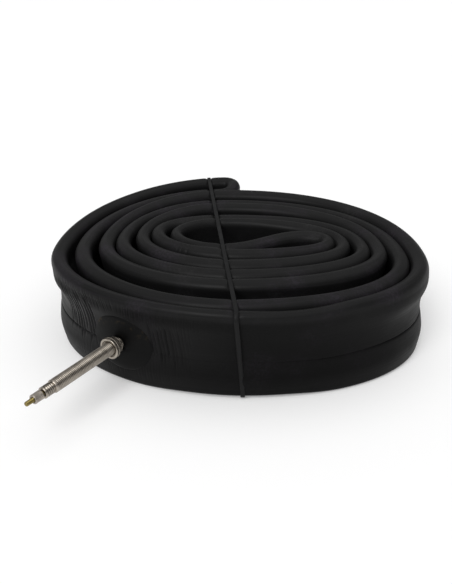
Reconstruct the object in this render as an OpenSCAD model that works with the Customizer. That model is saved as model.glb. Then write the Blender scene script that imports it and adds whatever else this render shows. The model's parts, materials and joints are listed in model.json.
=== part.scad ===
// Bicycle inner tube, pressed flat and rolled up on edge, held by one thin rubber band.
// Millimetres, +Z up. The origin is on the floor under the middle of the roll and its valve.
// The roll lies on the floor; its front faces -Y and the valve points to the front left.

/* [Tube] */
// Width of the tube when pressed flat, which is the height of the roll
flat_width = 45; // [43:0.5:47]
// Half the thickness of the rounded edge of the flat tube
edge_half = 3.1; // [2.8:0.05:3.15]
// Rubber thickness of the tube's skin
skin = 0.85; // [0.75:0.05:0.95]

/* [Valve] */
// Height of the valve's axis over the floor
valve_z = 21.5; // [20.5:0.5:22.5]
// Direction of the valve, as an angle from straight ahead towards the left
valve_yaw = 34.5; // [33:0.5:36]
// Outside diameter of the threaded stem, an M6 thread drawn plain
stem_d = 6.0; // [5.9:0.05:6.0]
// Distance from the tube's wall to the stem's shoulder
shoulder = 42.2; // [38:0.2:46]
// Length of the neck that the dust cap screws on
neck_len = 5.3; // [4.8:0.1:6]
// Diameter of the neck
neck_d = 5.2; // [5.1:0.05:5.2]

/* [Rim nut] */
// Distance from the tube's wall to the nut's outer face
nut_face = 7.8; // [7.6:0.1:9]
// Diameter of the nut's knurled flange
nut_d = 10; // [9.5:0.1:11]

/* [Rubber band] */
// Width of the band
band_w = 2.0; // [1.6:0.1:2.4]
// Thickness of the band
band_t = 0.8; // [0.7:0.05:0.85]

/* [Hidden] */
$fn = 64;
run = 0.05;                 // running clearance on the radius
lift_h = band_t + 0.15;     // how far the tube rides up where it crosses the band
edge_z = flat_width - edge_half;

// The roll seen from above is one closed strand. It is given by its turning points in order:
// 0 = furthest left or right, 1 = furthest front or back, 2 = end of a slack S-bend.
// The fourth number lowers the strand's top edge there.
turns = [
  [0,  46.0,   5.0, 0],   // inner hairpin
  [1,  34.5,  13.5, 0],
  [2,  -5.0,  -0.5, 0],
  [0, -30.0,  17.5, 0],
  [1,  -9.0,  32.0, 0],
  [0,  53.5,   0.5, 0],
  [1,   2.0, -19.5, 0],
  [0, -47.5,  14.5, 0],
  [1,  -9.0,  54.0, 0],
  [0,  70.0,  -6.5, 0],
  [1,   2.0, -39.5, 0],
  [0, -65.0,   6.5, 0],
  [1,  -9.0,  74.0, 0],
  [0,  87.5, -12.5, 0],
  [1,   4.0, -67.5, 0],   // front of the outer wall
  [0, -87.0,  -1.5, 0],
  [1,  -5.0,  95.5, 0],
  [0,   1.0,  88.0, 0],   // outer hairpin, at the back
  [1,  -8.0,  81.0, 2],
  [0, -74.5,   2.5, 0],
  [1,   3.0, -58.5, 0],
  [0,  77.5, -13.5, 0],
  [1,  -9.0,  63.0, 2],
  [0, -56.0,  10.5, 0],
  [1,   2.0, -29.5, 0],
  [0,  61.5,  -3.5, 0],
  [1,  -9.0,  41.0, 2],
  [0, -39.0,  19.5, 0],
  [1,   4.0,  -7.5, 0]];
n_turns = len(turns);
valve_arc = 14;             // the arc that carries the valve, from the front to the far left

round_left = 1.9;           // exponent of the left arcs, which are a little pointed
round_right = 2.15;         // exponent of the right arcs, which are a little square

// Rings on arc i: many under the valve's pad, few on the short arcs of the hairpins.
function steps(i) = i == valve_arc ? 15 : (i == 0 || i == 1 || i == 16 || i == 17) ? 5 : 8;

// Point on arc i, t = 0 to 1 (x, y and how far the top edge is lowered).
function arc_pt(i, t) = let (
    a = turns[i], b = turns[(i + 1) % n_turns],
    side = a[0] == 0 ? a[1] : b[1],
    e = 2 / (side < 0 ? round_left : round_right),
    c = pow(cos(90 * t), e), s = pow(sin(90 * t), e),
    low = a[3] + (b[3] - a[3]) * (1 - cos(180 * t)) / 2)
  b[0] == 2 ? [a[1] + (b[1] - a[1]) * t, a[2] + (b[2] - a[2]) * (1 - cos(180 * t)) / 2, low]
  : a[0] == 0 ? [b[1] + (a[1] - b[1]) * c, a[2] + (b[2] - a[2]) * s, low]
  : [a[1] + (b[1] - a[1]) * s, b[2] + (a[2] - b[2]) * c, low];

// Direction of travel on arc i, from two close points on it.
function arc_dir(i, t) = let (
    a = turns[i], b = turns[(i + 1) % n_turns], h = 0.004,
    p = arc_pt(i, max(t - h, 0.0001)), q = arc_pt(i, min(t + h, 0.9999)),
    d = [q[0] - p[0], q[1] - p[1]])
  t == 0 ? (a[0] == 0 ? [0, sign(b[2] - a[2])] : [sign(b[1] - a[1]), 0]) : d / norm(d);

// The wall leans in a little towards the floor, about this place.
lean_x = 52;
lean_y = 13.5;
lean_in_x = 0.020;
lean_in_y = 0.032;
function lean(p, z) = let (q = 1 - z / flat_width)
  [lean_x + (p[0] - lean_x) * (1 - lean_in_x * q), lean_y + (p[1] - lean_y) * (1 - lean_in_y * q), z];

// The strands ride up on the band that runs under them, over a long slope each side.
y_front = -67.5;            // outer strand where the band crosses it, at its top edge
y_back = 95.5;
function band_x(y) = -0.9 - 0.082 * (y - y_front);
lift_end = 46;              // distance from the band at which the strand is back on the floor
lift_slope = 26;            // length of that slope
function lift(p) = let (
    d = abs(p[0] - band_x(p[1])),
    u = min(max((lift_end - d) / lift_slope, 0), 1))
  lift_h * u * u * (3 - 2 * u);

// A point of the strand: centre p, sideways direction n, u across and z up the flat tube.
function strand_pt(p, n, u, z) = let (
    zb = lift(p), zt = flat_width - p[2], zz = zb + (zt - zb) * z / flat_width)
  lean([p[0] + n[0] * u, p[1] + n[1] * u], zz);

// Half sections of the flat tube, bottom to top: outside, then inside of the skin.
waist = 1.9;
h1 = 19;
h2 = 24;
half_out = [[1.4, 0], [2.9, 2.2], [2.3, 9], [waist, h1], [waist, h2], [2.3, edge_z - 7],
            [edge_half, edge_z], [edge_half / 2, flat_width]];
half_in = [[2.9 - skin - 0.1, 3.0], [waist - skin, h1], [waist - skin, h2],
           [edge_half - skin - 0.2, edge_z]];
k = len(half_out);
sect_out = [for (i = [0 : 2 * k - 1]) i < k ? half_out[i] : [-half_out[2 * k - 1 - i][0],
            half_out[2 * k - 1 - i][1]]];
m = len(half_in);
sect_in = concat([[0, skin]], half_in, [[0, flat_width - skin]],
                 [for (i = [m - 1 : -1 : 0]) [-half_in[i][0], half_in[i][1]]]);

stations = [for (i = [0 : n_turns - 1]) for (j = [0 : steps(i) - 1]) [i, j / steps(i)]];
n_st = len(stations);
function side_dir(i, t) = let (d = arc_dir(i, t)) [-d[1], d[0]];

function rings(sect) = [for (s = stations) let (p = arc_pt(s[0], s[1]), n = side_dir(s[0], s[1]))
    for (q = sect) strand_pt(p, n, q[0], q[1])];

// Where the valve meets the wall: a place on the valve arc, and the ring just before it.
valve_t = 0.438;
hole_st = [for (i = [0 : n_st - 1]) if (stations[i][0] == valve_arc) i][0]
          + floor(valve_t * steps(valve_arc));

// Skins of a closed ring of sections; the cell that the valve opens is left out.
function skin_faces(ns, base, hole, flip) = [
  for (i = [0 : n_st - 1]) for (j = [0 : ns - 1])
    if (!(i == hole_st && j == hole)) let (
      a = base + i * ns + j, b = base + i * ns + (j + 1) % ns,
      c = base + ((i + 1) % n_st) * ns + (j + 1) % ns, d = base + ((i + 1) % n_st) * ns + j)
    each flip ? [[a, c, b], [a, d, c]] : [[a, b, c], [a, c, d]]];

// Four short walls join the outside to the inside round the valve's opening.
function hole_faces(so, ho, si, hi, base) = let (
    o = [hole_st * so + ho, hole_st * so + ho + 1,
         (hole_st + 1) * so + ho + 1, (hole_st + 1) * so + ho],
    q = [base + hole_st * si + hi, base + hole_st * si + hi + 1,
         base + (hole_st + 1) * si + hi + 1, base + (hole_st + 1) * si + hi])
  [for (e = [0 : 3]) let (f = (e + 1) % 4) each [[o[e], o[f], q[f]], [o[e], q[f], q[e]]]];

module tube() {
  so = len(sect_out);
  si = len(sect_in);
  base = n_st * so;
  ho = 3;      // outside cell between the two waist points, on the side away from the centre
  hi = 2;      // the same cell inside
  color([0.06, 0.06, 0.065])
    polyhedron(points = concat(rings(sect_out), rings(sect_in)),
               faces = concat(skin_faces(so, 0, ho, false), skin_faces(si, base, hi, true),
                              hole_faces(so, ho, si, hi, base)), convexity = 12);
}

// The valve's own frame: +Z runs out of the wall along the stem.
wall_p = arc_pt(valve_arc, valve_t);
wall_n = side_dir(valve_arc, valve_t);
valve_o = strand_pt(wall_p, wall_n, waist, valve_z);
module on_valve() {
  translate([valve_o[0], valve_o[1], valve_z]) rotate([90, 0, -valve_yaw]) children();
}

// Rubber pad round the foot of the stem. It follows the wall and thins out to its rim.
pad_r = 13.2;
pad_h = 2.0;
pad_long = 1.19;   // its stretch along the wall
pad_off = -1.1;    // its middle is this far along the wall from the valve, towards the front
arc_mm = 118;   // length of the valve arc, near enough
function wall_u(z) = z < h1 ? waist + 0.4 * (h1 - z) / 10
                   : z < h2 ? waist : waist + 0.4 * (z - h2) / (edge_z - 7 - h2);
function pad_pt(r, a, h) = let (
    share = r / pad_r, along = r * cos(a) * (1 + (pad_long - 1) * share) + pad_off * share,
    t = valve_t + along / arc_mm, z = valve_z + r * sin(a),
    p = arc_pt(valve_arc, t), n = side_dir(valve_arc, t))
  lean([p[0] + n[0] * (wall_u(z) + h), p[1] + n[1] * (wall_u(z) + h)], z);
function pad_top(r) = 0.5 + (pad_h - 0.5) * pow(cos(90 * min(r / pad_r, 1)), 0.6);
pad_rr = [0.1, 3.6, 6.6, 8.8, 10.9, 12.4, pad_r];

pad_under = 0.08;   // gap between the pad's back and the wall

// Two triangles of the cell between corners a, b, c and d.
function cell(a, b, c, d) = [[a, b, c], [a, c, d]];

module pad_solid() {
  na = 32;
  nr = len(pad_rr);
  top = [for (r = pad_rr) for (i = [0 : na - 1]) pad_pt(r, i * 360 / na, pad_top(r))];
  low = [for (r = pad_rr) for (i = [0 : na - 1]) pad_pt(r, i * 360 / na, pad_under)];
  b = nr * na;
  q = b - na;
  top_faces = [for (j = [0 : nr - 2]) for (i = [0 : na - 1]) let (i2 = (i + 1) % na)
    each cell(j * na + i, j * na + i2, (j + 1) * na + i2, (j + 1) * na + i)];
  low_faces = [for (j = [0 : nr - 2]) for (i = [0 : na - 1]) let (i2 = (i + 1) % na)
    each cell(b + j * na + i, b + (j + 1) * na + i, b + (j + 1) * na + i2, b + j * na + i2)];
  rim_faces = [for (i = [0 : na - 1]) let (i2 = (i + 1) % na)
    each cell(q + i, q + i2, b + q + i2, b + q + i)];
  middle_faces = [for (i = [1 : na - 2]) each [[0, i + 1, i], [b, b + i, b + i + 1]]];
  polyhedron(points = concat(top, low),
             faces = concat(top_faces, low_faces, rim_faces, middle_faces), convexity = 4);
}

// The stem's foot, a flat round flange inside the pad.
foot_r = 5.6;
foot_a = 0.55;
foot_b = 1.25;
module valve_pad() {
  color([0.05, 0.05, 0.055]) difference() {
    pad_solid();
    on_valve() translate([0, 0, -3]) cylinder(d = stem_d + 0.02, h = 12);
    on_valve() translate([0, 0, -3]) cylinder(r = foot_r + 0.02, h = 3 + foot_b + 0.02);
  }
}

// Turned stem with a foot inside the pad, an open bore and a wider seat for the core.
bore_d = 3.8;
core_d = 4.6;
core_depth = 8.6;
module valve_stem() {
  r = stem_d / 2;
  color([0.62, 0.60, 0.57]) on_valve() rotate_extrude() polygon([
    [bore_d / 2, foot_a], [foot_r, foot_a], [foot_r, foot_b], [r, foot_b],
    [r, shoulder - 0.9], [r - 0.25, shoulder - 0.3], [r - 0.8, shoulder],
    [core_d / 2, shoulder], [core_d / 2, shoulder - core_depth],
    [bore_d / 2, shoulder - core_depth]]);
}

// Knurled ring nut that draws the stem against the rim: flange outwards, collar to the rubber.
nut_len = 5.3;
module rim_nut() {
  r = stem_d / 2 + run;
  f = nut_face;
  b = nut_face - nut_len;
  R = nut_d / 2;
  color([0.66, 0.64, 0.60]) on_valve() rotate_extrude() polygon([
    [r, b + 0.3], [r + 0.3, b], [3.5, b], [3.85, b + 0.35], [3.85, f - 2.0], [R - 0.3, f - 2.0],
    [R, f - 1.7], [R, f - 0.4], [R - 0.4, f], [4.0, f], [3.7, f - 0.5], [r, f - 0.9]]);
}

// Core screwed into the stem: the neck outside carries the cap thread, the barrel goes inside.
neck_top = shoulder + neck_len;
barrel_low = shoulder - core_depth + 0.9;
guide_d = 2.1 + 2 * run;
module core_body() {
  rn = neck_d / 2;
  rb = core_d / 2 - 0.03;
  color([0.60, 0.58, 0.55]) on_valve() rotate_extrude() polygon([
    [1.35, barrel_low], [rb, barrel_low], [rb, shoulder + 0.02], [2.4, shoulder + 0.02],
    [2.4, shoulder + 0.7], [rn, shoulder + 0.9], [rn, neck_top - 0.5], [rn - 0.5, neck_top],
    [1.6, neck_top], [guide_d / 2, neck_top - 0.9], [guide_d / 2, neck_top - 3.4],
    [1.35, neck_top - 3.8]]);
}

module core_gasket() {
  color([0.10, 0.10, 0.10]) on_valve() translate([0, 0, shoulder - core_depth + 0.02])
    difference() {
      cylinder(d = core_d - 0.06, h = 0.86);
      translate([0, 0, -1]) cylinder(d = 3.5, h = 3);
    }
}

// Brass pin with its head inside the stem and its end staked outside.
pin_r = 1.05;
tip = neck_top + 9.0;
seal_top = barrel_low - 0.02;
seal_low = seal_top - 1.2;
module core_pin() {
  color([0.55, 0.47, 0.22]) on_valve() rotate_extrude() polygon([
    [0, seal_low - 1.0], [1.5, seal_low - 1.0], [1.6, seal_low - 0.8], [1.6, seal_low - 0.02],
    [pin_r, seal_low - 0.02], [pin_r, tip - 0.4], [pin_r - 0.3, tip], [0, tip]]);
}

module pin_seal() {
  color([0.09, 0.09, 0.09]) on_valve() translate([0, 0, seal_low]) difference() {
    cylinder(r = 1.65, h = seal_top - seal_low);
    translate([0, 0, -1]) cylinder(r = pin_r + 0.02, h = 4);
  }
}

// Small lock nut on the pin, screwed down to just above the neck.
lock_low = neck_top + 0.6;
lock_len = 4.6;
module lock_nut() {
  a = lock_low;
  b = lock_low + lock_len;
  r = 2.1;
  color([0.64, 0.62, 0.58]) on_valve() rotate_extrude() polygon([
    [pin_r + run, a], [r - 0.2, a], [r, a + 0.3], [r, b - 0.45], [r - 0.35, b],
    [pin_r + 0.45, b], [pin_r + run, b - 0.4]]);
}

// Endless flat band round the whole roll: over the top, down the front, underneath, up the back.
bend = edge_half + 0.1 + band_t / 2;    // bend radius of the band's middle over the tube's edges
y_front_low = lean_y + (y_front - lean_y) * (1 - lean_in_y);
y_back_low = lean_y + (y_back - lean_y) * (1 - lean_in_y);
low_z = band_t / 2;
function corner(x, y, z, a0, a1) = [for (i = [0 : 6]) let (a = a0 + (a1 - a0) * i / 6)
  [x, y + bend * cos(a), z + bend * sin(a), a]];
band_path = concat(
  corner(-14.3, y_back, edge_z, 0, 90),
  corner(-0.9, y_front, edge_z, 90, 180),
  corner(2.3, y_front_low, low_z + bend, 180, 270),
  corner(-12.3, y_back_low, low_z + bend, 270, 360));

module rubber_band() {
  n = len(band_path);
  w = band_w / 2;
  t = band_t / 2;
  color([0.16, 0.16, 0.17]) polyhedron(
    points = [for (p = band_path) for (c = [[-w, t], [-w, -t], [w, -t], [w, t]])
      [p[0] + c[0], p[1] + c[1] * cos(p[3]), p[2] + c[1] * sin(p[3])]],
    faces = [for (i = [0 : n - 1]) for (j = [0 : 3]) let (
      a = i * 4 + j, b = i * 4 + (j + 1) % 4,
      c = ((i + 1) % n) * 4 + (j + 1) % 4, d = ((i + 1) % n) * 4 + j)
      each [[a, b, c], [a, c, d]]], convexity = 6);
}

tube();
valve_pad();
valve_stem();
rim_nut();
core_body();
core_gasket();
core_pin();
pin_seal();
lock_nut();
rubber_band();
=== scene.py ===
"""A bicycle inner tube, pressed flat, rolled up on edge and held by a thin rubber band.

The part's own sizes are in millimetres, as in its CAD source; MM turns them into metres.
"""

import json
import math

import bmesh
import bpy
import numpy as np
from mathutils import Matrix, Vector


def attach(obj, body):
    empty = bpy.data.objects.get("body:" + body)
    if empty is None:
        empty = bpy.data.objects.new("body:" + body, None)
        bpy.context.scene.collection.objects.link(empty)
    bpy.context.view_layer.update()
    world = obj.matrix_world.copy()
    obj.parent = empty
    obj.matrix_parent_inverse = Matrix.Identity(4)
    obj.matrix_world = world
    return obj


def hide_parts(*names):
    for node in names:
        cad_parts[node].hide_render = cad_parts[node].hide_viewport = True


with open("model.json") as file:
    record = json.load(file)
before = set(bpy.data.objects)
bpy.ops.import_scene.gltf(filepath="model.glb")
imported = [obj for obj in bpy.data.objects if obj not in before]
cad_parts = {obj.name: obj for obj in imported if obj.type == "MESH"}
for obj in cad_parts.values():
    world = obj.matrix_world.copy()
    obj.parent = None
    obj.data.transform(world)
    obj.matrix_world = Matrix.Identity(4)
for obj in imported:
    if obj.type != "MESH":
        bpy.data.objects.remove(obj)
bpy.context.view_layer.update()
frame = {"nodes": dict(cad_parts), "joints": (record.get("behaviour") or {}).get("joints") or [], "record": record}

MM = 0.001

# ---------------------------------------------------------------- the strand's route

SIDE, CREST, SLACK = 0, 1, 2    # furthest left or right, furthest front or back, end of an S-bend

# Turning points of the one closed strand, seen from above, and how far its top edge is lowered.
TURNS = [
    (SIDE, 46.0, 5.0, 0), (CREST, 34.5, 13.5, 0), (SLACK, -5.0, -0.5, 0),
    (SIDE, -30.0, 17.5, 0), (CREST, -9.0, 32.0, 0), (SIDE, 53.5, 0.5, 0),
    (CREST, 2.0, -19.5, 0), (SIDE, -47.5, 14.5, 0), (CREST, -9.0, 54.0, 0),
    (SIDE, 70.0, -6.5, 0), (CREST, 2.0, -39.5, 0), (SIDE, -65.0, 6.5, 0),
    (CREST, -9.0, 74.0, 0), (SIDE, 87.5, -12.5, 0), (CREST, 4.0, -67.5, 0),
    (SIDE, -87.0, -1.5, 0), (CREST, -5.0, 95.5, 0), (SIDE, 1.0, 88.0, 0),
    (CREST, -8.0, 81.0, 2), (SIDE, -74.5, 2.5, 0), (CREST, 3.0, -58.5, 0),
    (SIDE, 77.5, -13.5, 0), (CREST, -9.0, 63.0, 2), (SIDE, -56.0, 10.5, 0),
    (CREST, 2.0, -29.5, 0), (SIDE, 61.5, -3.5, 0), (CREST, -9.0, 41.0, 2),
    (SIDE, -39.0, 19.5, 0), (CREST, 4.0, -7.5, 0),
]
VALVE_ARC = 14                  # the arc that carries the valve, from the front to the far left
VALVE_T = 0.438                 # how far along that arc the valve stands
ROUND_LEFT, ROUND_RIGHT = 1.9, 2.15  # power of the arcs' ovals: 2 is an ellipse, more is squarer
HAIRPINS = [(46, 5), (1, 88)]   # where the strand turns back on itself
SPLICE_AT = (-23.0, 2.0)        # where the tube's ends were joined in the mould

FLAT_WIDTH = 45.0
VALVE_Z = 21.5                  # height of the valve's axis
LEAN_AT = np.array([52.0, 13.5])        # the point towards which the roll's foot is drawn
LEAN_IN = np.array([0.020, 0.032])      # by these shares in x and y, at the floor
BAND_FRONT_X, BAND_BACK_X, BAND_SLANT = -0.9, -14.3, 0.082
BAND_FRONT_Y, BAND_BACK_Y = -67.5, 95.5
BAND_W, BAND_T = 2.0, 0.8
LIFT, LIFT_END, LIFT_SLOPE = BAND_T + 0.15, 46.0, 26.0  # the strands ride up over the band


def ease(u):
    """0 to 1 with level ends."""
    u = np.clip(u, 0.0, 1.0)
    return u * u * (3 - 2 * u)


def hump(x, middle, spread):
    """1 at the middle, 0.37 at the spread from it and next to nothing at twice that."""
    return np.exp(-((x - middle) / spread) ** 2)


def arc_points(i, t):
    """x, y and the lowering of the top edge along arc i, for t from 0 to 1."""
    a, b = TURNS[i], TURNS[(i + 1) % len(TURNS)]
    swing = (1 - np.cos(math.pi * t)) / 2
    low = a[3] + (b[3] - a[3]) * swing
    if b[0] == SLACK:
        return np.stack([a[1] + (b[1] - a[1]) * t, a[2] + (b[2] - a[2]) * swing, low], 1)
    side = a[1] if a[0] == SIDE else b[1]
    power = 2 / (ROUND_LEFT if side < 0 else ROUND_RIGHT)
    c = np.abs(np.cos(math.pi / 2 * t)) ** power
    s = np.abs(np.sin(math.pi / 2 * t)) ** power
    if a[0] == SIDE:
        return np.stack([b[1] + (a[1] - b[1]) * c, a[2] + (b[2] - a[2]) * s, low], 1)
    return np.stack([a[1] + (b[1] - a[1]) * s, b[2] + (a[2] - b[2]) * c, low], 1)


def smooth_closed(values, spread):
    """Gaussian blur round a closed ring of rows; spread is in rows."""
    reach = int(3 * spread)
    weights = np.exp(-0.5 * (np.arange(-reach, reach + 1) / spread) ** 2)
    weights /= weights.sum()
    return sum(w * np.roll(values, k, axis=0) for w, k in zip(weights, range(-reach, reach + 1)))


class Route:
    """The strand's centre line by length: x, y, lowering, and the sideways direction."""

    PER_ARC = 400               # points worked out on each arc
    FINE = 0.25                 # mm between the stored points
    SMOOTHING = 1.5             # mm over which the joins of the arcs are rounded
    ABREAST = 1.5               # mm: the next strand's points are abreast this nearly
    APART = 9                   # mm: and this far off along the strand
    GAP_MOST = 30.0             # the gap given where there is no next strand

    def __init__(self):
        t = np.arange(self.PER_ARC) / self.PER_ARC
        raw = np.concatenate([arc_points(i, t) for i in range(len(TURNS))])
        length = self.lengths(raw)
        count = int(length[-1] / self.FINE)
        self.total = length[-1]
        even = np.arange(count) * self.total / count
        ring = np.concatenate([raw, raw[:1]])
        even_rows = np.stack([np.interp(even, length, ring[:, k]) for k in range(3)], 1)
        self.rows = smooth_closed(even_rows, self.SMOOTHING / self.FINE)
        self.at = even
        ahead = np.roll(self.rows[:, :2], -1, axis=0) - np.roll(self.rows[:, :2], 1, axis=0)
        ahead /= np.linalg.norm(ahead, axis=1)[:, None]
        self.side = np.stack([-ahead[:, 1], ahead[:, 0]], 1)
        self.valve_s = length[VALVE_ARC * self.PER_ARC + int(round(VALVE_T * self.PER_ARC))]

    @staticmethod
    def lengths(rows):
        ring = np.concatenate([rows, rows[:1]])[:, :2]
        return np.concatenate([[0], np.cumsum(np.linalg.norm(np.diff(ring, axis=0), axis=1))])

    def sample(self, s):
        """Rows (x, y, lowering) and sideways directions at lengths s."""
        s = np.asarray(s) % self.total
        at = np.append(self.at, self.total)
        rows = np.stack([np.interp(s, at, np.append(self.rows[:, k], self.rows[0, k]))
                         for k in range(3)], 1)
        side = np.stack([np.interp(s, at, np.append(self.side[:, k], self.side[0, k]))
                         for k in range(2)], 1)
        return rows, side / np.linalg.norm(side, axis=1)[:, None]

    def free_gaps(self):
        """Lengths, and the distance there to the next strand against and along the side vector."""
        near = self.rows[::4, :2].astype(np.float32)
        side = self.side[::4].astype(np.float32)
        at = self.at[::4]
        delta = near[None, :, :] - near[:, None, :]
        across = (delta * side[:, None, :]).sum(2)
        ahead = delta[..., 0] * side[:, None, 1] - delta[..., 1] * side[:, None, 0]
        apart = np.abs(at[None, :] - at[:, None])
        apart = np.minimum(apart, self.total - apart)
        level = (np.abs(ahead) < self.ABREAST) & (apart > self.APART)
        gaps = []
        for sign in (-1, 1):
            found = np.where(level & (sign * across > 0), sign * across, self.GAP_MOST).min(1)
            gaps.append(smooth_closed(found[:, None], 6)[:, 0])
        return at, gaps

    def near(self, x, y):
        """Length at which the strand comes nearest to a place."""
        gap = np.hypot(self.rows[:, 0] - x, self.rows[:, 1] - y)
        return float(self.at[int(np.argmin(gap))])


route = Route()


def band_x(y):
    """x of the rubber band over the strand at y."""
    return BAND_FRONT_X - BAND_SLANT * (y - BAND_FRONT_Y)


def lean(x, y, z):
    """The wall leans in a little towards the floor."""
    q = 1 - z / FLAT_WIDTH
    return (LEAN_AT[0] + (x - LEAN_AT[0]) * (1 - LEAN_IN[0] * q),
            LEAN_AT[1] + (y - LEAN_AT[1]) * (1 - LEAN_IN[1] * q), z)


def strand_place(rows, side, u, z):
    """Points of the strand: u sideways and z up the flat tube, one row of each per ring."""
    off_band = np.abs(rows[:, 0] - band_x(rows[:, 1]))
    low = LIFT * ease((LIFT_END - off_band) / LIFT_SLOPE)
    top = FLAT_WIDTH - rows[:, 2]
    zz = low[:, None] + (top - low)[:, None] * z / FLAT_WIDTH
    x = rows[:, :1] + side[:, :1] * u
    y = rows[:, 1:2] + side[:, 1:2] * u
    return np.stack(lean(x, y, zz), -1)


# ---------------------------------------------------------------- mesh helpers

def mesh_object(name, points, faces):
    """A smooth-shaded mesh from points in metres."""
    mesh = bpy.data.meshes.new(name)
    mesh.from_pydata([tuple(p) for p in np.asarray(points, float)], [], faces)
    mesh.validate()
    mesh.polygons.foreach_set("use_smooth", [True] * len(mesh.polygons))
    piece = bpy.data.objects.new(name, mesh)
    bpy.context.scene.collection.objects.link(piece)
    return piece


def grid_faces(rows, cols, closed_rows, closed_cols):
    """Quads of a grid whose point (i, j) has the index i * cols + j."""
    last_row = rows if closed_rows else rows - 1
    last_col = cols if closed_cols else cols - 1
    return [(i * cols + j, i * cols + (j + 1) % cols,
             ((i + 1) % rows) * cols + (j + 1) % cols, ((i + 1) % rows) * cols + j)
            for i in range(last_row) for j in range(last_col)]


def smooth_through(points, per_span):
    """A Catmull-Rom curve through points, ends included."""
    p = np.asarray(points, float)
    p = np.concatenate([2 * p[:1] - p[1:2], p, 2 * p[-1:] - p[-2:-1]])
    t = (np.arange(per_span) / per_span)[:, None]
    out = []
    for a, b, c, d in zip(p[:-3], p[1:-2], p[2:-1], p[3:]):
        out.append(0.5 * (2 * b + (c - a) * t + (2 * a - 5 * b + 4 * c - d) * t ** 2
                          + (3 * b - a - 3 * c + d) * t ** 3))
    return np.concatenate(out + [p[-2:-1]])


# ---------------------------------------------------------------- the tube

EDGE = 3.2                      # half the thickness of the flat tube's edge where it stands free
EDGE_MOST = 4.7                 # the edge swells to this where the next strand leaves it room
FULLNESS = 0.475                # the swollen edge's share of the distance to the next strand
CAP = 3.9                       # height of the edge's rounded top
CAP_Z = FLAT_WIDTH - CAP
OUTWARD_SHARE = 0.12            # of the swelling, on a strand's outward side, except at the front
SWELL_LOW, SWELL_RISE = 22.0, 15.0  # the swelling starts at this height and grows over the next
CREASE_Z = 19.4                 # height of the mould line on the flat walls
OPEN_GAP = 24                   # a side with more room than this is on the outside of the roll
THICK_VARIES = 0.04             # the tube's thickness varies by this share
THICK_SEED = 3                  # in waves drawn with this seed
NEAR_VALVE = 60                 # the folds end within this length from the valve
FOLD_Z = 26                     # the folds keep their place at this height and bow away above it
SPLICE_DEPTH = 0.22
BACK_BITE = 0.7                 # the band bites this much deeper over the rim at the back
CAP_POINTS, FOOT_POINTS = 26, 12        # points of the section's rounded top and foot
# Spacing of the tube's rings: plain, in a hairpin, at the band or the splice, and near the valve.
PLAIN_STEP, HAIRPIN_STEP, MARK_STEP, FOLD_STEP = 1.8, 0.8, 0.4, 0.3
HAIRPIN_REACH, BAND_REACH, SPLICE_REACH = 25, 5, 6      # the rings are closer this far from each
# Small shapes of the tube: depth in mm, then where each is, how far it spreads or over what it
# grows, and the seed of its waves.
BULGE, BULGE_Z, BULGE_SPREAD, BULGE_X, BULGE_GROWS = 1.5, 36, 5.2, 50, 30
WAIST_IN, WAIST_IN_Z, WAIST_IN_SPREAD = 0.8, 26, 4
WAIST_OUT, WAIST_OUT_Z, WAIST_OUT_SPREAD = 1.1, 35.5, 3.5
WAIST_AT, WAIST_SPREAD = 42, 14
CREASE_FRONT, CREASE_MORE, CREASE_SPREAD, CREASE_X = 0.16, 0.34, 0.38, 35
SPLICE_MARKS, SPLICE_SPREAD = (-2.6, -0.6, 2.4), 0.4
TOP_LINE, TOP_LINE_AT, TOP_LINE_SPREAD, TOP_LINE_SEED = 0.14, 1.35, 0.5, 5
SAG, SAG_X, SAG_SPREAD, SAG_Y, SAG_GROWS = 1.4, 24, 24, -58, 7
UNEVEN_TOP, UNEVEN_SEED = 0.12, 11
BAND_BITE, BITE_SPREAD = 0.45, 1.5

# Half thickness of the flat tube by height, on the side away from the roll's middle, then inside.
OUTER_WALL = [(3.0, 3.2), (6.5, 3.75), (10.5, 3.95), (15.0, 3.2), (CREASE_Z - 0.8, 2.45),
              (CREASE_Z + 0.8, 2.05), (24.0, 1.75), (30.0, 1.85), (36.0, 2.6), (CAP_Z, EDGE)]
INNER_WALL = [(3.0, 2.9), (9.5, 2.4), (CREASE_Z, 1.9), (30.0, 2.1), (36.0, 2.85), (CAP_Z, EDGE)]


def wall_heights():
    """Heights of the wall's points, closer together round the mould line."""
    wide = np.arange(3.0, CAP_Z, 1.25)
    close = np.arange(CREASE_Z - 1.6, CREASE_Z + 1.6, 0.16)
    return np.concatenate([wide[wide < close[0]], close, wide[wide > close[-1]], [CAP_Z]])


def wall_half(points, z):
    """Half thickness at heights z of a wall given by its control points."""
    curve = smooth_through(points, 24)
    return np.interp(z, curve[:, 0], curve[:, 1])


def tube_section():
    """Closed outline (u, z) of the flat tube: up its outer wall, over, down inside and under."""
    z = wall_heights()
    outer = np.stack([wall_half(OUTER_WALL, z), z], 1)
    inner = np.stack([-wall_half(INNER_WALL, z), z], 1)[::-1]
    a = np.linspace(0, math.pi, CAP_POINTS + 2)[1:-1]
    over = np.stack([EDGE * np.cos(a), CAP_Z + CAP * np.sin(a)], 1)
    a = np.linspace(0, math.pi, FOOT_POINTS + 2)[1:-1]
    under = np.stack([-outer[0, 0] * np.cos(a), z[0] - z[0] * np.sin(a) ** 0.7], 1)
    return np.concatenate([outer, over, inner, under])


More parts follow.
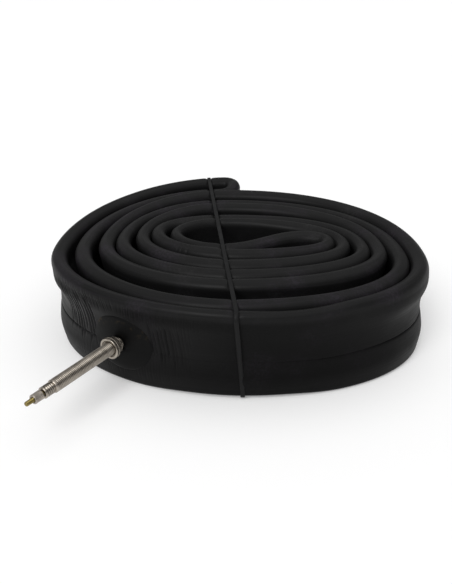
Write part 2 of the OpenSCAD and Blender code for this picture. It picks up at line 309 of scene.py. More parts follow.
def ring_lengths():
    """Lengths along the strand of the tube's rings: close together where the wall is marked."""
    at, out = 0.0, []
    half = route.total / 2
    hairpins = [route.near(*place) for place in HAIRPINS]
    splice = route.near(*SPLICE_AT)

    def off_band(s):
        (x, y, _), = route.sample([s])[0]
        return x - band_x(y)
    while at < route.total - 0.2:
        out.append(at)
        step = PLAIN_STEP
        if min(abs((at - h + half) % route.total - half) for h in hairpins) < HAIRPIN_REACH:
            step = HAIRPIN_STEP
        if abs(off_band(at)) < BAND_REACH or abs(at - splice) < SPLICE_REACH:
            step = MARK_STEP
        if abs(at - route.valve_s) < NEAR_VALVE:
            step = FOLD_STEP
        at += step
    return np.array(out)


def round_ring(s, at, values):
    """Values given at lengths at round the closed strand, read at lengths s."""
    return np.interp(s, np.append(at, route.total), np.append(values, values[0]))


def edge_swelling(s):
    """How much thicker the rounded edges are than EDGE at lengths s, on the two sides, in mm."""
    at, gaps = route.free_gaps()
    out = []
    for gap in gaps:
        extra = np.clip(FULLNESS * gap - EDGE, -0.25, EDGE_MOST - EDGE) * (gap < OPEN_GAP)
        out.append(round_ring(s, at, smooth_closed(extra[:, None], 8)[:, 0]))
    return out


def outside_share(s):
    """1 where the strand's outer side is the outside of the roll, 0 elsewhere."""
    at, (_, plus) = route.free_gaps()
    return round_ring(s, at, smooth_closed((plus > OPEN_GAP).astype(float)[:, None], 12)[:, 0])


def right_bulge(x, z):
    """How far the outside bulges under its edge on the roll's right, in mm."""
    return BULGE * hump(z, BULGE_Z, BULGE_SPREAD) * ease((x - BULGE_X) / BULGE_GROWS)


def slow_waves(s, seed, longest=3, shortest=60):
    """A gentle irregular curve round the closed strand, between about -1 and 1."""
    rng = np.random.default_rng(seed)
    total = np.zeros_like(s)
    for k in range(longest, shortest, 4):
        size = rng.normal()
        total += size * np.sin(2 * math.pi * (k * s / route.total + rng.random())) / math.sqrt(k)
    return total / 2.2


def thickness(s):
    """The tube's thickness at lengths s, as a share of the plain one."""
    return 1 + THICK_VARIES * slow_waves(s, THICK_SEED)


def fold_lines(seed, first, last, pitch, strength, low, high):
    """Folds across the wall to one side of the valve: place, depth, low end and high end of each.

    first and last are lengths from the valve, both negative on its right side.
    """
    rng = np.random.default_rng(seed)
    side, away = math.copysign(1, first), abs(first)
    lines = []
    while away < abs(last):
        fade = ease((abs(last) - away) / (0.6 * abs(last - first)))
        lines.append((side * away, fade * rng.uniform(*strength),
                      rng.uniform(*low), rng.uniform(*high)))
        away += rng.uniform(*pitch)
    return lines


def folds(lines, from_valve, z, width, slant):
    """Depth of the folds, in mm.

    Above FOLD_Z they bow away from the valve. With a slant above 0 they lean away from it towards
    the floor, and with one below 0 they lean towards it.
    """
    depth = np.zeros(np.broadcast(from_valve, z).shape)
    over = z - FOLD_Z
    for place, strength, low, high in lines:
        at = place + np.sign(place) * (0.006 * over ** 2 * (z > FOLD_Z) - slant * over)
        window = ease((z - low) / 4) * ease((high - z) / 4)
        depth += strength * window * hump(from_valve, at, width)
    return depth


def both_sides(seed, first, last, pitch, strength, low, high):
    """The same kind of folds on the right and on the left of the valve."""
    return [line for side in (-1, 1)
            for line in fold_lines(seed + side, first * side, last * side,
                                   pitch, strength, low, high)]


def waist(from_valve, z):
    """How far the wall on the valve's left is drawn in, and bulges under its edge, in mm."""
    profile = (WAIST_IN * hump(z, WAIST_IN_Z, WAIST_IN_SPREAD)
               - WAIST_OUT * hump(z, WAIST_OUT_Z, WAIST_OUT_SPREAD))
    return profile * hump(from_valve, WAIST_AT, WAIST_SPREAD)


def wrinkles(from_valve, z):
    """How far the outer wall is pressed in at each length from the valve and height, in mm."""
    right = fold_lines(7, -16.0, -37, (1.5, 2.3), (0.50, 0.95), (11, 18), (33, 38))
    left = fold_lines(6, 14.6, 42, (1.6, 2.6), (0.45, 0.80), (14, 20), (37, 42))
    fine = both_sides(8, 15.5, 54, (0.8, 1.5), (0.06, 0.20), (20, 33), (42, 45))
    over_pad = both_sides(12, 0.5, 30, (0.9, 1.5), (0.12, 0.26), (34, 37), (42, 45))
    below = both_sides(15, 0.6, 42, (0.9, 1.7), (0.05, 0.15), (2, 8), (15, 19))
    kinds = ((right, 0.38, 0.10), (left, 0.40, -0.08), (fine, 0.32, 0.06),
             (over_pad, 0.34, 0), (below, 0.32, 0))
    return waist(from_valve, z) + sum(folds(lines, from_valve, z, width, slant)
                                      for lines, width, slant in kinds)


def crease(x, z):
    """The narrow groove of the mould line, in mm: pressed deep at the sides, shallow in front."""
    deep = CREASE_FRONT + CREASE_MORE * ease((np.abs(x) - CREASE_X) / CREASE_X)
    return deep * np.exp(-np.abs(z - CREASE_Z) / CREASE_SPREAD)


def band_dent(x, y, z):
    """How far the rubber band presses the tube in on top, in mm: more towards the back."""
    share = np.clip((y - BAND_FRONT_Y) / (BAND_BACK_Y - BAND_FRONT_Y), 0, 1)
    return (BAND_BITE + BACK_BITE * share) * hump(x, band_x(y), BITE_SPREAD) * ease((z - CAP_Z) / 2)


def splice_marks(s, z):
    """Faint steps across the tube's top edge at the splice, in mm."""
    across = s - route.near(*SPLICE_AT)
    top = ease((z - 36) / 3)
    return SPLICE_DEPTH * top * sum(hump(across, mark, SPLICE_SPREAD) for mark in SPLICE_MARKS)


def top_lines(s, u, z):
    """Shallow grooves on each side of the rounded top's middle, that come and go, in mm."""
    fade = 0.5 + 0.5 * np.clip(1.6 * slow_waves(s, TOP_LINE_SEED, 4, 90), -1, 1)[:, None]
    return TOP_LINE * fade * hump(np.abs(u), TOP_LINE_AT, TOP_LINE_SPREAD) * (z > CAP_Z)


def front_sag(x, y):
    """How far the top of the outermost strand hangs down at the front, right of the band, in mm."""
    return SAG * hump(x, SAG_X, SAG_SPREAD) * ease((SAG_Y - y) / SAG_GROWS)


def swollen(s, side, outline):
    """How far each point of the section moves sideways as the edges swell, in mm."""
    u, z = outline[:, 0], outline[:, 1]
    minus, plus = edge_swelling(s)
    plus = plus * (OUTWARD_SHARE + (1 - OUTWARD_SHARE) * ease((-side[:, 1] - 0.45) / 0.5))
    edge = (ease((z - SWELL_LOW) / SWELL_RISE) * np.minimum(1, np.abs(u) / 2.4)
            * np.where(z > CAP_Z, np.abs(u) / EDGE, 1))[None, :]
    return edge * np.where(u > 0, plus[:, None], -minus[:, None])


def tube_surface(s):
    """Points of the tube's skin at lengths s, in mm, as rings of section points."""
    rows, side = route.sample(s)
    x, y = rows[:, :1], rows[:, 1:2]
    outline = tube_section()
    u = np.tile(outline[:, 0], (len(s), 1))
    z = np.tile(outline[:, 1], (len(s), 1))
    z = z - top_lines(s, u, z)
    u = u * thickness(s)[:, None] + swollen(s, side, outline)
    outward = np.sign(outline[:, 0])[None, :]
    u = u + (outward > 0) * outside_share(s)[:, None] * right_bulge(x, z)
    away = (s - route.valve_s)[:, None]
    near = np.abs(away[:, 0]) < NEAR_VALVE
    u[near] -= (outward > 0) * wrinkles(away[near], z[near])
    u = u - outward * (crease(x, z) + splice_marks(s[:, None], z))
    z = z - UNEVEN_TOP * (1 + slow_waves(s, UNEVEN_SEED)[:, None]) * z / FLAT_WIDTH
    z = z - band_dent(x + side[:, :1] * u, y + side[:, 1:2] * u, z)
    z = z - front_sag(x, y) * ease(z / FLAT_WIDTH)
    return strand_place(rows, side, u, z), outline


def add_layer(piece, name, values):
    """A number at every point of the piece, for its material to read."""
    layer = piece.data.attributes.new(name, "FLOAT", "POINT")
    layer.data.foreach_set("value", values.ravel().astype(np.float32))


def talc_and_light_layer(s, outline):
    """Talc and painted light on the tube: 1 in the gaps, 0.5 on top and 0 on the rubbed outside. The gap walls are
    painted lighter as fill light, the tops lighter than the walls where the light falls, and the outside darker as
    shade.
    """
    outside = outside_share(s)[:, None] * (outline[:, 0] > 0)
    z = outline[:, 1]
    # Walls in the gaps: talc, and painted lighter as the fill light that the gaps do not get.
    below_top = ease((CAP_Z + 2.2 - z) / 5.0)
    # The outside: rubbed, and painted darker as shade, most towards the floor.
    wall = 0.75 * ease((CAP_Z + 2.0 - z) / 3.5) + 0.25 * ease((18 - z) / 12)
    return 0.5 + 0.5 * below_top * (1 - outside) - 0.5 * outside * wall


def fold_sheen_layer(s, outline):
    """Painted highlight where the wall is drawn into folds by the valve: most on the valve's left, where the light
    falls, over the mould line. The same places are made glossier.
    """
    away = s - route.valve_s
    beside = ease((64 - np.abs(away)) / 44) * (0.55 + 0.45 * ease(away / 12))
    z = outline[:, 1]
    height = ease((38 - z) / 5) * (0.5 + 0.5 * ease((z - 13) / 9))
    return beside[:, None] * (outline[:, 0] > 0) * height


def add_length_uv(piece, rows, cols, s, around):
    """A UV map in metres: u along the strand, v round its section."""
    layer = piece.data.uv_layers.new(name="strand")
    loops = np.empty(len(piece.data.loops), np.int64)
    piece.data.loops.foreach_get("vertex_index", loops)
    row, col = loops // cols, loops % cols
    faces_first = np.repeat(np.arange(len(piece.data.polygons)), 4)
    first_row, first_col = faces_first // cols, faces_first % cols
    u = np.append(s, route.total)[np.where((row == 0) & (first_row == rows - 1), rows, row)]
    v = around[np.where((col == 0) & (first_col == cols - 1), cols, col)]
    layer.data.foreach_set("uv", np.stack([u * MM, v * MM], 1).ravel().astype(np.float32))


def make_tube():
    """The whole tube as one closed skin."""
    s = ring_lengths()
    points, outline = tube_surface(s)
    rows, cols = points.shape[:2]
    piece = mesh_object("tube_skin", points.reshape(-1, 3) * MM,
                        grid_faces(rows, cols, True, True))
    ring = np.concatenate([outline, outline[:1]])
    around = np.concatenate([[0], np.cumsum(np.linalg.norm(np.diff(ring, axis=0), axis=1))])
    add_length_uv(piece, rows, cols, s, around)
    add_layer(piece, "talc_and_light", talc_and_light_layer(s, outline))
    add_layer(piece, "fold_sheen", fold_sheen_layer(s, outline))
    return piece


# ---------------------------------------------------------------- valve

# Radii, and places on the axis as distances from the wall.
STEM_MOUNT_S = 24.55            # the stem's mount
STEM_R, STEM_FOOT_R = 3.0, 4.8
SHOULDER = 42.2                 # the stem's end
BORE_R, SEAT_R, SEAT_DEPTH = 1.9, 2.3, 8.6
NECK_R, NECK_TOP = 2.6, 47.5    # the core's threaded neck
UNDERCUT_R = NECK_R - 0.45      # the groove between the neck and the stem
CORE_BORE_R = 1.35
BARREL_R, BARREL_LOW = SEAT_R - 0.03, SHOULDER - SEAT_DEPTH + 0.9
PIN_R, PIN_TIP = 1.05, 56.5
SLIDE_R = PIN_R + 0.05          # the bores round the pin
FIT_GAP = 0.02                  # between parts that stand on each other
SEAL_LOW = BARREL_LOW - FIT_GAP - 1.2   # the inner face of the pin's seal
NUT_FACE, NUT_LEN, NUT_R, COLLAR_R = 7.8, 5.3, 5.0, 3.85
NUT_BORE_R = 3.05
LOCK_LOW, LOCK_LEN, LOCK_R = NECK_TOP + 0.6, 4.6, 2.1
LOCK_WAIST_R = LOCK_R - 0.22    # the groove round the lock nut's foot
DARK_GROOVE_DEPTH = 0.40              # the metal is darkest in grooves this deep
ROUND_STEPS = 5                 # edges in a quarter round

travel = next(j for j in frame["joints"] if j["name"] == "rim_nut_travel")
valve_axis = Vector(travel["axis"]).normalized()
stem_mount = next(m for m in frame["record"]["mounts"] if m["name"] == "valve_stem")
valve_origin = Vector(stem_mount["pos_m"]) - valve_axis * STEM_MOUNT_S * MM


def valve_matrix():
    """From the valve's own frame, +Z out along the stem and +Y up, to the row's frame."""
    up = Vector((0, 0, 1))
    across = up.cross(valve_axis)
    turn = Matrix((across, up, valve_axis)).transposed().to_4x4()
    return Matrix.Translation(valve_origin) @ turn


def finer(outline, step):
    """The outline with extra points, so that no part of an edge is longer than step."""
    out = []
    for (r0, s0), (r1, s1) in zip(outline[:-1], outline[1:]):
        n = max(1, math.ceil(math.hypot(r1 - r0, s1 - s0) / step))
        out += [(r0 + (r1 - r0) * k / n, s0 + (s1 - s0) * k / n) for k in range(n)]
    return np.array(out + [outline[-1]])


def turned(name, outline, around, step, relief, sharp):
    """A turned piece on the valve's axis from an outline (radius, distance from the wall) in mm.

    relief(r, s, angle) gives the radius taken away by a thread or knurl; the metal is darker there.
    """
    rows = finer(outline, step)
    angle = np.arange(around) * 2 * math.pi / around
    r = np.repeat(rows[:, :1], around, axis=1)
    s = np.repeat(rows[:, 1:], around, axis=1)
    a = np.repeat(angle[None, :], len(rows), axis=0)
    sunk = relief(r, s, a)
    r = r - sunk
    points = np.stack([r * np.cos(a), r * np.sin(a), s], -1).reshape(-1, 3) * MM
    piece = mesh_object(name, points, grid_faces(len(rows), around, False, True))
    add_layer(piece, "groove", np.clip(sunk / DARK_GROOVE_DEPTH, 0, 1))
    finish_turned(piece, sharp)
    return piece


def finish_turned(piece, sharp):
    """Joins the poles and seams, turns the faces outwards and stands the piece on the valve."""
    bm = bmesh.new()
    bm.from_mesh(piece.data)
    bmesh.ops.remove_doubles(bm, verts=bm.verts, dist=1e-7)
    bmesh.ops.dissolve_degenerate(bm, edges=bm.edges, dist=1e-8)
    bmesh.ops.recalc_face_normals(bm, faces=bm.faces)
    bm.to_mesh(piece.data)
    bm.free()
    piece.data.set_sharp_from_angle(angle=math.radians(sharp))
    piece.data.transform(valve_matrix())


def thread(pitch, depth, low, high, radius, blunt=0.15):
    """A screw thread on the outside of radius between two places on the axis."""
    def relief(r, s, a):
        phase = (s / pitch - a / (2 * math.pi)) % 1.0
        groove = np.clip((1 - np.abs(2 * phase - 1)) * (1 + 2 * blunt) - blunt, 0, 1)
        window = ease((s - low) / pitch) * ease((high - s) / pitch)
        return depth * groove * window * (r > radius - 0.01)
    return relief


def knurl(count, depth, slope, low, high, radius):
    """Diamond knurling: two sets of crossing grooves round a rim."""
    def relief(r, s, a):
        one = np.abs(2 * ((count * a / (2 * math.pi) + slope * s) % 1) - 1)
        two = np.abs(2 * ((count * a / (2 * math.pi) - slope * s) % 1) - 1)
        window = ease((s - low) / 0.2) * ease((high - s) / 0.2)
        return depth * (1 - np.minimum(one, two)) * window * (r > radius - 0.05)
    return relief


def rounded(centre_r, centre_s, radius, start, end):
    """Points of a quarter round on an outline; angles in degrees from the radius to the tip."""
    angles = [math.radians(start + (end - start) * k / ROUND_STEPS) for k in range(ROUND_STEPS + 1)]
    return [(centre_r + radius * math.cos(a), centre_s + radius * math.sin(a)) for a in angles]


def make_stem():
    """The threaded stem, with its foot flange and its bore."""
    outline = ([(BORE_R, 0.55), (STEM_FOOT_R, 0.55), (STEM_FOOT_R, 1.05), (STEM_R, 1.05)]
               + rounded(STEM_R - 0.8, SHOULDER - 0.8, 0.8, 0, 90)
               + [(SEAT_R, SHOULDER), (SEAT_R, SHOULDER - SEAT_DEPTH),
                  (BORE_R, SHOULDER - SEAT_DEPTH), (BORE_R, 0.55)])
    relief = thread(0.8, 0.24, 1.3, SHOULDER - 0.9, STEM_R, blunt=0.05)
    return turned("stem", outline, around=72, step=0.1, relief=relief, sharp=60)


def make_core_body():
    """The core: its threaded neck outside the stem and its barrel inside."""
    outline = ([(CORE_BORE_R, BARREL_LOW), (BARREL_R, BARREL_LOW), (BARREL_R, SHOULDER + FIT_GAP),
                (UNDERCUT_R, SHOULDER + FIT_GAP), (UNDERCUT_R, SHOULDER + 0.5),
                (NECK_R, SHOULDER + 0.8)]
               + rounded(NECK_R - 0.55, NECK_TOP - 0.55, 0.55, 0, 90)
               + [(1.6, NECK_TOP), (SLIDE_R, NECK_TOP - 0.9), (SLIDE_R, NECK_TOP - 3.4),
                  (CORE_BORE_R, NECK_TOP - 3.8), (CORE_BORE_R, BARREL_LOW)])
    relief = thread(0.95, 0.46, SHOULDER + 0.3, NECK_TOP - 0.4, NECK_R, blunt=0.02)
    return turned("core_neck", outline, around=64, step=0.1, relief=relief, sharp=60)


def make_pin():
    """The core's brass pin, with the head that carries its seal and its staked tip."""
    head = [(0, SEAL_LOW - 1.0), (1.5, SEAL_LOW - 1.0), (1.6, SEAL_LOW - 0.8),
            (1.6, SEAL_LOW - FIT_GAP), (PIN_R, SEAL_LOW - FIT_GAP)]
    staked = [(PIN_R, PIN_TIP - 0.9), (PIN_R - 0.12, PIN_TIP - 0.75),
              (PIN_R - 0.02, PIN_TIP - 0.45), (PIN_R - 0.18, PIN_TIP - 0.12),
              (PIN_R - 0.5, PIN_TIP), (0, PIN_TIP - 0.05)]
    relief = thread(0.45, 0.17, NECK_TOP - 0.6, PIN_TIP - 0.9, PIN_R)
    return turned("pin", head + staked, around=40, step=0.07, relief=relief, sharp=60)


def make_lock_nut():
    """The small knurled nut on the pin."""
    top = LOCK_LOW + LOCK_LEN
    outline = ([(SLIDE_R, LOCK_LOW), (LOCK_R - 0.25, LOCK_LOW), (LOCK_R, LOCK_LOW + 0.3),
                (LOCK_R, LOCK_LOW + 0.9), (LOCK_WAIST_R, LOCK_LOW + 1.05),
                (LOCK_WAIST_R, LOCK_LOW + 1.35), (LOCK_R, LOCK_LOW + 1.5)]
               + rounded(LOCK_R - 0.4, top - 0.4, 0.4, 0, 90)
               + [(PIN_R + 0.42, top), (SLIDE_R, top - 0.4), (SLIDE_R, LOCK_LOW)])
    relief = knurl(26, 0.10, 0.55, LOCK_LOW + 1.6, top - 0.5, LOCK_R)
    return turned("pin_nut", outline, around=208, step=0.12, relief=relief, sharp=50)


def make_rim_nut():
    """The knurled ring nut, with its collar towards the pad."""
    back, front = NUT_FACE - NUT_LEN, NUT_FACE
    outline = ([(NUT_BORE_R, back + 0.3), (3.35, back), (COLLAR_R - 0.35, back)]
               + rounded(COLLAR_R - 0.35, back + 0.35, 0.35, -90, 0)
               + [(COLLAR_R, front - 2.15), (COLLAR_R - 0.25, front - 2.1),
                  (COLLAR_R - 0.25, front - 2.0), (NUT_R - 0.35, front - 2.0)]
               + rounded(NUT_R - 0.3, front - 1.7, 0.3, -90, 0)
               + rounded(NUT_R - 0.35, front - 0.35, 0.35, 0, 90)
               + [(4.0, front), (3.75, front - 0.45), (NUT_BORE_R, front - 0.9),
                  (NUT_BORE_R, back + 0.3)])
    rim = knurl(46, 0.22, 0.72, front - 1.75, front - 0.3, NUT_R)
    collar = knurl(40, 0.18, 0.85, back + 0.7, front - 2.2, COLLAR_R)

    def relief(r, s, a):
        return rim(r, s, a) + collar(r, s, a) * (r < NUT_R - 0.5)
    return turned("ring_nut", outline, around=368, step=0.12, relief=relief, sharp=50)


# ---------------------------------------------------------------- the pad

PAD_R, PAD_H, PAD_RIM = 13.2, 1.98, 0.18    # radius, height at the middle and at the rim
PAD_LONG = 1.17                 # the pad's stretch along the wall
PAD_OFF = -0.8                  # its middle is this far along the wall from the valve
PAD_AROUND = 96                 # points round each of its rings


def pad_height(r):
    """How far the pad stands off the wall at a distance from the valve: domed, thin at its rim."""
    return PAD_RIM + (PAD_H - PAD_RIM) * np.cos(math.pi / 2 * np.clip(r / PAD_R, 0, 1)) ** 0.8


def wall_points(away, z, lift):
    """Points over the tube's outer wall: lengths from the valve, heights and lift off it, in mm."""
    rows, side = route.sample(route.valve_s + away)
    u = wall_half(OUTER_WALL, z) * thickness(np.array([route.valve_s]))[0]
    return strand_place(rows, side, (u + lift)[:, None], z[:, None])[:, 0]


def pad_ring(r, a, lift):
    """One ring of the pad: round at the stem, a little oval and off centre at the rim."""
    share = (r - STEM_R) / (PAD_R - STEM_R)
    along = r * np.cos(a) * (1 + (PAD_LONG - 1) * share) + PAD_OFF * share
    return wall_points(along, VALVE_Z + r * np.sin(a), np.full(len(a), lift))


def make_pad():
    """The pad as a polar grid: a hole for the stem, a domed face and a back on the wall."""
    face_r = np.concatenate([[STEM_R, 3.15, 3.6], np.linspace(4.4, PAD_R - 0.9, 16),
                             np.linspace(PAD_R - 0.6, PAD_R, 5)])
    a = np.arange(PAD_AROUND) * 2 * math.pi / PAD_AROUND
    rings = []
    for r in face_r:
        rim_drop = 0.12 * ease((r - (PAD_R - 0.6)) / 0.6) + 0.2 * ease((3.3 - r) / 0.3)
        rings.append(pad_ring(r, a, pad_height(r) - rim_drop))
    rings += [pad_ring(PAD_R, a, 0.0), pad_ring(STEM_R, a, 0.0)]
    points = np.concatenate(rings) * MM
    piece = mesh_object("pad", points, grid_faces(len(rings), PAD_AROUND, True, True))
    r = np.concatenate([face_r, [PAD_R, STEM_R]])[:, None]
    add_layer(piece, "stain", ease((r - 9.0) / 3.0) * ease((np.sin(a) - 0.25) / 0.4))
    add_layer(piece, "collar_dark", ease((9.5 - r) / 5.0) * ease((np.sin(a) + 0.1) / 0.8))
    return piece


# ---------------------------------------------------------------- the rubber band

BAND_SUNK = 0.4                 # how far the band is pressed into the tube's top
BAND_BEND, BAND_OFF = 3.1, 0.1  # radius of its bend round the tube's edge, and its gap there
BAND_FLOOR_X = (1.7, -12.3)     # x of the band at the floor, in front and at the back
BAND_TWIST = 28                 # degrees it is turned down the front
TWIST_LOW, TWIST_HIGH = 6, 30   # between these heights
BAND_CHAMFER = 0.12
BAND_STEP, BEND_POINTS = 1.5, 10        # spacing of its points, and points in each bend


def band_route():
    """Points (x, y, z in mm, angle of the outward face in degrees) round the band."""
    bend = BAND_BEND + BAND_OFF + BAND_T / 2
    edge_z = FLAT_WIDTH - BAND_BEND - BAND_SUNK
    low = [LEAN_AT[1] + (y - LEAN_AT[1]) * (1 - LEAN_IN[1]) for y in (BAND_FRONT_Y, BAND_BACK_Y)]
    front_z = edge_z - front_sag(BAND_FRONT_X, BAND_FRONT_Y)
    corners = [(BAND_BACK_X, BAND_BACK_Y - 0.2, edge_z - BACK_BITE, 0),
               (BAND_FRONT_X, BAND_FRONT_Y, front_z, 90),
               (BAND_FLOOR_X[0], low[0], BAND_T / 2 + bend, 180),
               (BAND_FLOOR_X[1], low[1], BAND_T / 2 + bend, 270)]
    path = []
    for k, (x, y, z, a0) in enumerate(corners):
        for a in np.linspace(a0, a0 + 90, BEND_POINTS):
            rad = math.radians(a)
            path.append((x, y + bend * math.cos(rad), z + bend * math.sin(rad), a))
        x1, y1, z1, _ = corners[(k + 1) % len(corners)]
        rad = math.radians(a0 + 90)
        start = np.array([x, y + bend * math.cos(rad), z + bend * math.sin(rad)])
        end = np.array([x1, y1 + bend * math.cos(rad), z1 + bend * math.sin(rad)])
        n = int(np.linalg.norm(end - start) / BAND_STEP)
        path += [(*(start + (end - start) * j / n), a0 + 90) for j in range(1, n)]
    return np.array(path)


def make_band():
    """The endless band: flat, and twisted where it comes down the front."""
    path = band_route()
    n = len(path)
    w, t, c = BAND_W / 2, BAND_T / 2, BAND_CHAMFER
    outline = np.array([(-w, t - c), (-w + c, t), (w - c, t), (w, t - c),
                        (w, -t + c), (w - c, -t), (-w + c, -t), (-w, -t + c)])
    rad = np.radians(path[:, 3])
    out_dir = np.stack([np.zeros(n), np.cos(rad), np.sin(rad)], 1)
    across = np.tile([1.0, 0, 0], (n, 1))
    _, _, z, facing = path.T
    front_turn = np.radians(BAND_TWIST) * ease((TWIST_HIGH - z) / 5) * ease((z - TWIST_LOW) / 4)
    turn = np.where(facing == 180, front_turn, 0)
    co, si = np.cos(turn)[:, None], np.sin(turn)[:, None]
    out_dir, across = out_dir * co + across * si, across * co - out_dir * si
    points = (path[:, None, :3] + outline[None, :, :1] * across[:, None, :]
              + outline[None, :, 1:] * out_dir[:, None, :])
    piece = mesh_object("band", points.reshape(-1, 3) * MM,
                        grid_faces(n, len(outline), True, True))
    piece.data.set_sharp_from_angle(angle=math.radians(50))
    return piece


# ---------------------------------------------------------------- materials

def new_material(name):
    """A material with its nodes, and its Principled shader."""
    material = bpy.data.materials.new(name)
    material.use_nodes = True
    tree = material.node_tree
    return material, tree, tree.nodes["Principled BSDF"]


def noise_node(tree, vector, scale, detail):
    """A cloudy pattern over the places in vector."""
    node = tree.nodes.new("ShaderNodeTexNoise")
    node.inputs["Scale"].default_value = scale
    node.inputs["Detail"].default_value = detail
    node.inputs["Roughness"].default_value = 0.55
    tree.links.new(vector, node.inputs["Vector"])
    return node.outputs["Fac"]


def stretched(tree, vector, scale):
    """The same places with each axis scaled, which draws a pattern out along the low ones."""
    node = tree.nodes.new("ShaderNodeMapping")
    node.inputs["Scale"].default_value = scale
    tree.links.new(vector, node.inputs["Vector"])
    return node.outputs["Vector"]


def between(tree, value, low, high, to_low, to_high):
    """A value's place between low and high, taken smoothly to the range from to_low to to_high."""
    node = tree.nodes.new("ShaderNodeMapRange")
    node.interpolation_type = "SMOOTHSTEP"
    for name, number in (("From Min", low), ("From Max", high),
                         ("To Min", to_low), ("To Max", to_high)):
        node.inputs[name].default_value = number
    tree.links.new(value, node.inputs["Value"])
    return node.outputs["Result"]


def combine(tree, kind, a, b):
    """A sum, product or difference of two values; each is a socket or a number."""
    node = tree.nodes.new("ShaderNodeMath")
    node.operation = kind
    for socket, value in zip(node.inputs, (a, b)):
        if isinstance(value, (int, float)):
            socket.default_value = value
        else:
            tree.links.new(value, socket)
    return node.outputs[0]


def colour_mix(tree, factor, dark, light):
    """From dark at 0 to light at 1; each is a socket or a colour."""
    node = tree.nodes.new("ShaderNodeMix")
    node.data_type = "RGBA"
    colour_a, colour_b = node.inputs[6], node.inputs[7]
    for socket, colour in ((colour_a, dark), (colour_b, light)):
        if isinstance(colour, tuple):
            socket.default_value = (*colour, 1)
        else:
            tree.links.new(colour, socket)
    tree.links.new(factor, node.inputs[0])
    return node.outputs[2]


def add_bump(tree, shader, height, distance, strength):
    """Fine relief on a shader; height 1 stands the distance off the surface, in metres."""
    node = tree.nodes.new("ShaderNodeBump")
    node.inputs["Distance"].default_value = distance
    node.inputs["Strength"].default_value = strength
    tree.links.new(height, node.inputs["Height"])
    tree.links.new(node.outputs["Normal"], shader.inputs["Normal"])


def place(tree, uv=None):
    """Where a point is, on the object or on its UV map."""
    if uv:
        node = tree.nodes.new("ShaderNodeUVMap")
        node.uv_map = uv
        return node.outputs["UV"]
    return tree.nodes.new("ShaderNodeTexCoord").outputs["Object"]


def layer(tree, name):
    """A number that the mesh carries at its points."""
    node = tree.nodes.new("ShaderNodeAttribute")
    node.attribute_name = name
    return node.outputs["Fac"]


def butyl_material():
    """Black moulded butyl: satin, drawn along its length, with a thin uneven bloom of talc, and painted light:
    tops and gap walls painted lighter, the outer wall painted darker as shade, and a painted highlight over the
    folds by the valve.
    """
    material, tree, shader = new_material("butyl")
    here, along = place(tree), place(tree, "strand")
    streaks = noise_node(tree, stretched(tree, along, (18, 1100, 1)), 1.0, 5)
    bloom = noise_node(tree, here, 55, 6)
    specks = noise_node(tree, here, 900, 3)
    dust = combine(tree, "MULTIPLY", between(tree, bloom, 0.45, 0.72, 0, 1),
                   between(tree, specks, 0.40, 0.65, 0.3, 1))
    dust = combine(tree, "ADD", dust, between(tree, streaks, 0.52, 0.75, 0, 0.45))
    # The talc layer carries talc and painted light: tops and gap walls lighter, the outer wall painted darker as
    # shade.
    talc_and_light, fold_sheen = layer(tree, "talc_and_light"), layer(tree, "fold_sheen")
    rubbed_and_shaded, in_gap = between(tree, talc_and_light, 0.5, 0, 0, 1), between(tree, talc_and_light, 0.5, 1, 0, 1)
    tint = between(tree, noise_node(tree, here, 26, 2), 0.42, 0.58, 0, 1)
    bloomy = colour_mix(tree, tint, (0.0190, 0.0187, 0.0188), (0.0212, 0.0184, 0.0232))
    # Tops: talc, and painted lighter than the walls, as where the light falls.
    top = colour_mix(tree, dust, (0.0098, 0.0098, 0.0099), bloomy)
    # Gap walls: painted lighter, as fill light.
    gap = colour_mix(tree, dust, (0.0070, 0.0069, 0.0072), (0.0150, 0.0146, 0.0156))
    # Outer wall: rubbed rubber, painted darker as shade.
    clean_and_shaded = colour_mix(tree, dust, (0.0006, 0.0006, 0.0006), (0.0040, 0.0037, 0.0043))
    # Painted highlight over the folds by the valve.
    clean_and_shaded = colour_mix(tree, fold_sheen, clean_and_shaded, (0.0118, 0.0116, 0.0119))
    tree.links.new(colour_mix(tree, rubbed_and_shaded, colour_mix(tree, in_gap, top, gap), clean_and_shaded),
                   shader.inputs["Base Color"])
    rough = combine(tree, "ADD", between(tree, bloom, 0.3, 0.7, 0.38, 0.48),
                    between(tree, streaks, 0.3, 0.7, -0.04, 0.04))
    rough = combine(tree, "ADD", rough, combine(tree, "MULTIPLY", in_gap, 0.12))
    rough = combine(tree, "SUBTRACT", rough, combine(tree, "MULTIPLY", fold_sheen, 0.13))
    tree.links.new(combine(tree, "ADD", rough, combine(tree, "MULTIPLY", rubbed_and_shaded, 0.10)),
                   shader.inputs["Roughness"])
    shader.inputs["Specular IOR Level"].default_value = 0.085
    height = combine(tree, "ADD", combine(tree, "MULTIPLY", specks, 0.5),
                     combine(tree, "MULTIPLY", streaks, 0.5))
    add_bump(tree, shader, height, 0.00010, 0.6)
    return material


def pad_material():
    """The pad's smoother rubber: darker round the collar, most above it, stained brown along its upper rim."""
    material, tree, shader = new_material("pad_rubber")
    here = place(tree)
    cloud, grain = noise_node(tree, here, 90, 4), noise_node(tree, here, 1500, 3)
    plain = colour_mix(tree, cloud, (0.0012, 0.0012, 0.0013), (0.0030, 0.0030, 0.0031))
    # Darker round the collar, most above it.
    plain = colour_mix(tree, layer(tree, "collar_dark"), plain, (0.0005, 0.0005, 0.0005))
    blots = between(tree, noise_node(tree, here, 420, 4), 0.50, 0.66, 0, 1)
    stain = combine(tree, "MULTIPLY", layer(tree, "stain"), blots)
    tree.links.new(colour_mix(tree, stain, plain, (0.0190, 0.0140, 0.0080)),
                   shader.inputs["Base Color"])
    tree.links.new(between(tree, cloud, 0.3, 0.7, 0.50, 0.60), shader.inputs["Roughness"])
    shader.inputs["Specular IOR Level"].default_value = 0.10
    add_bump(tree, shader, grain, 0.00006, 0.5)
    return material


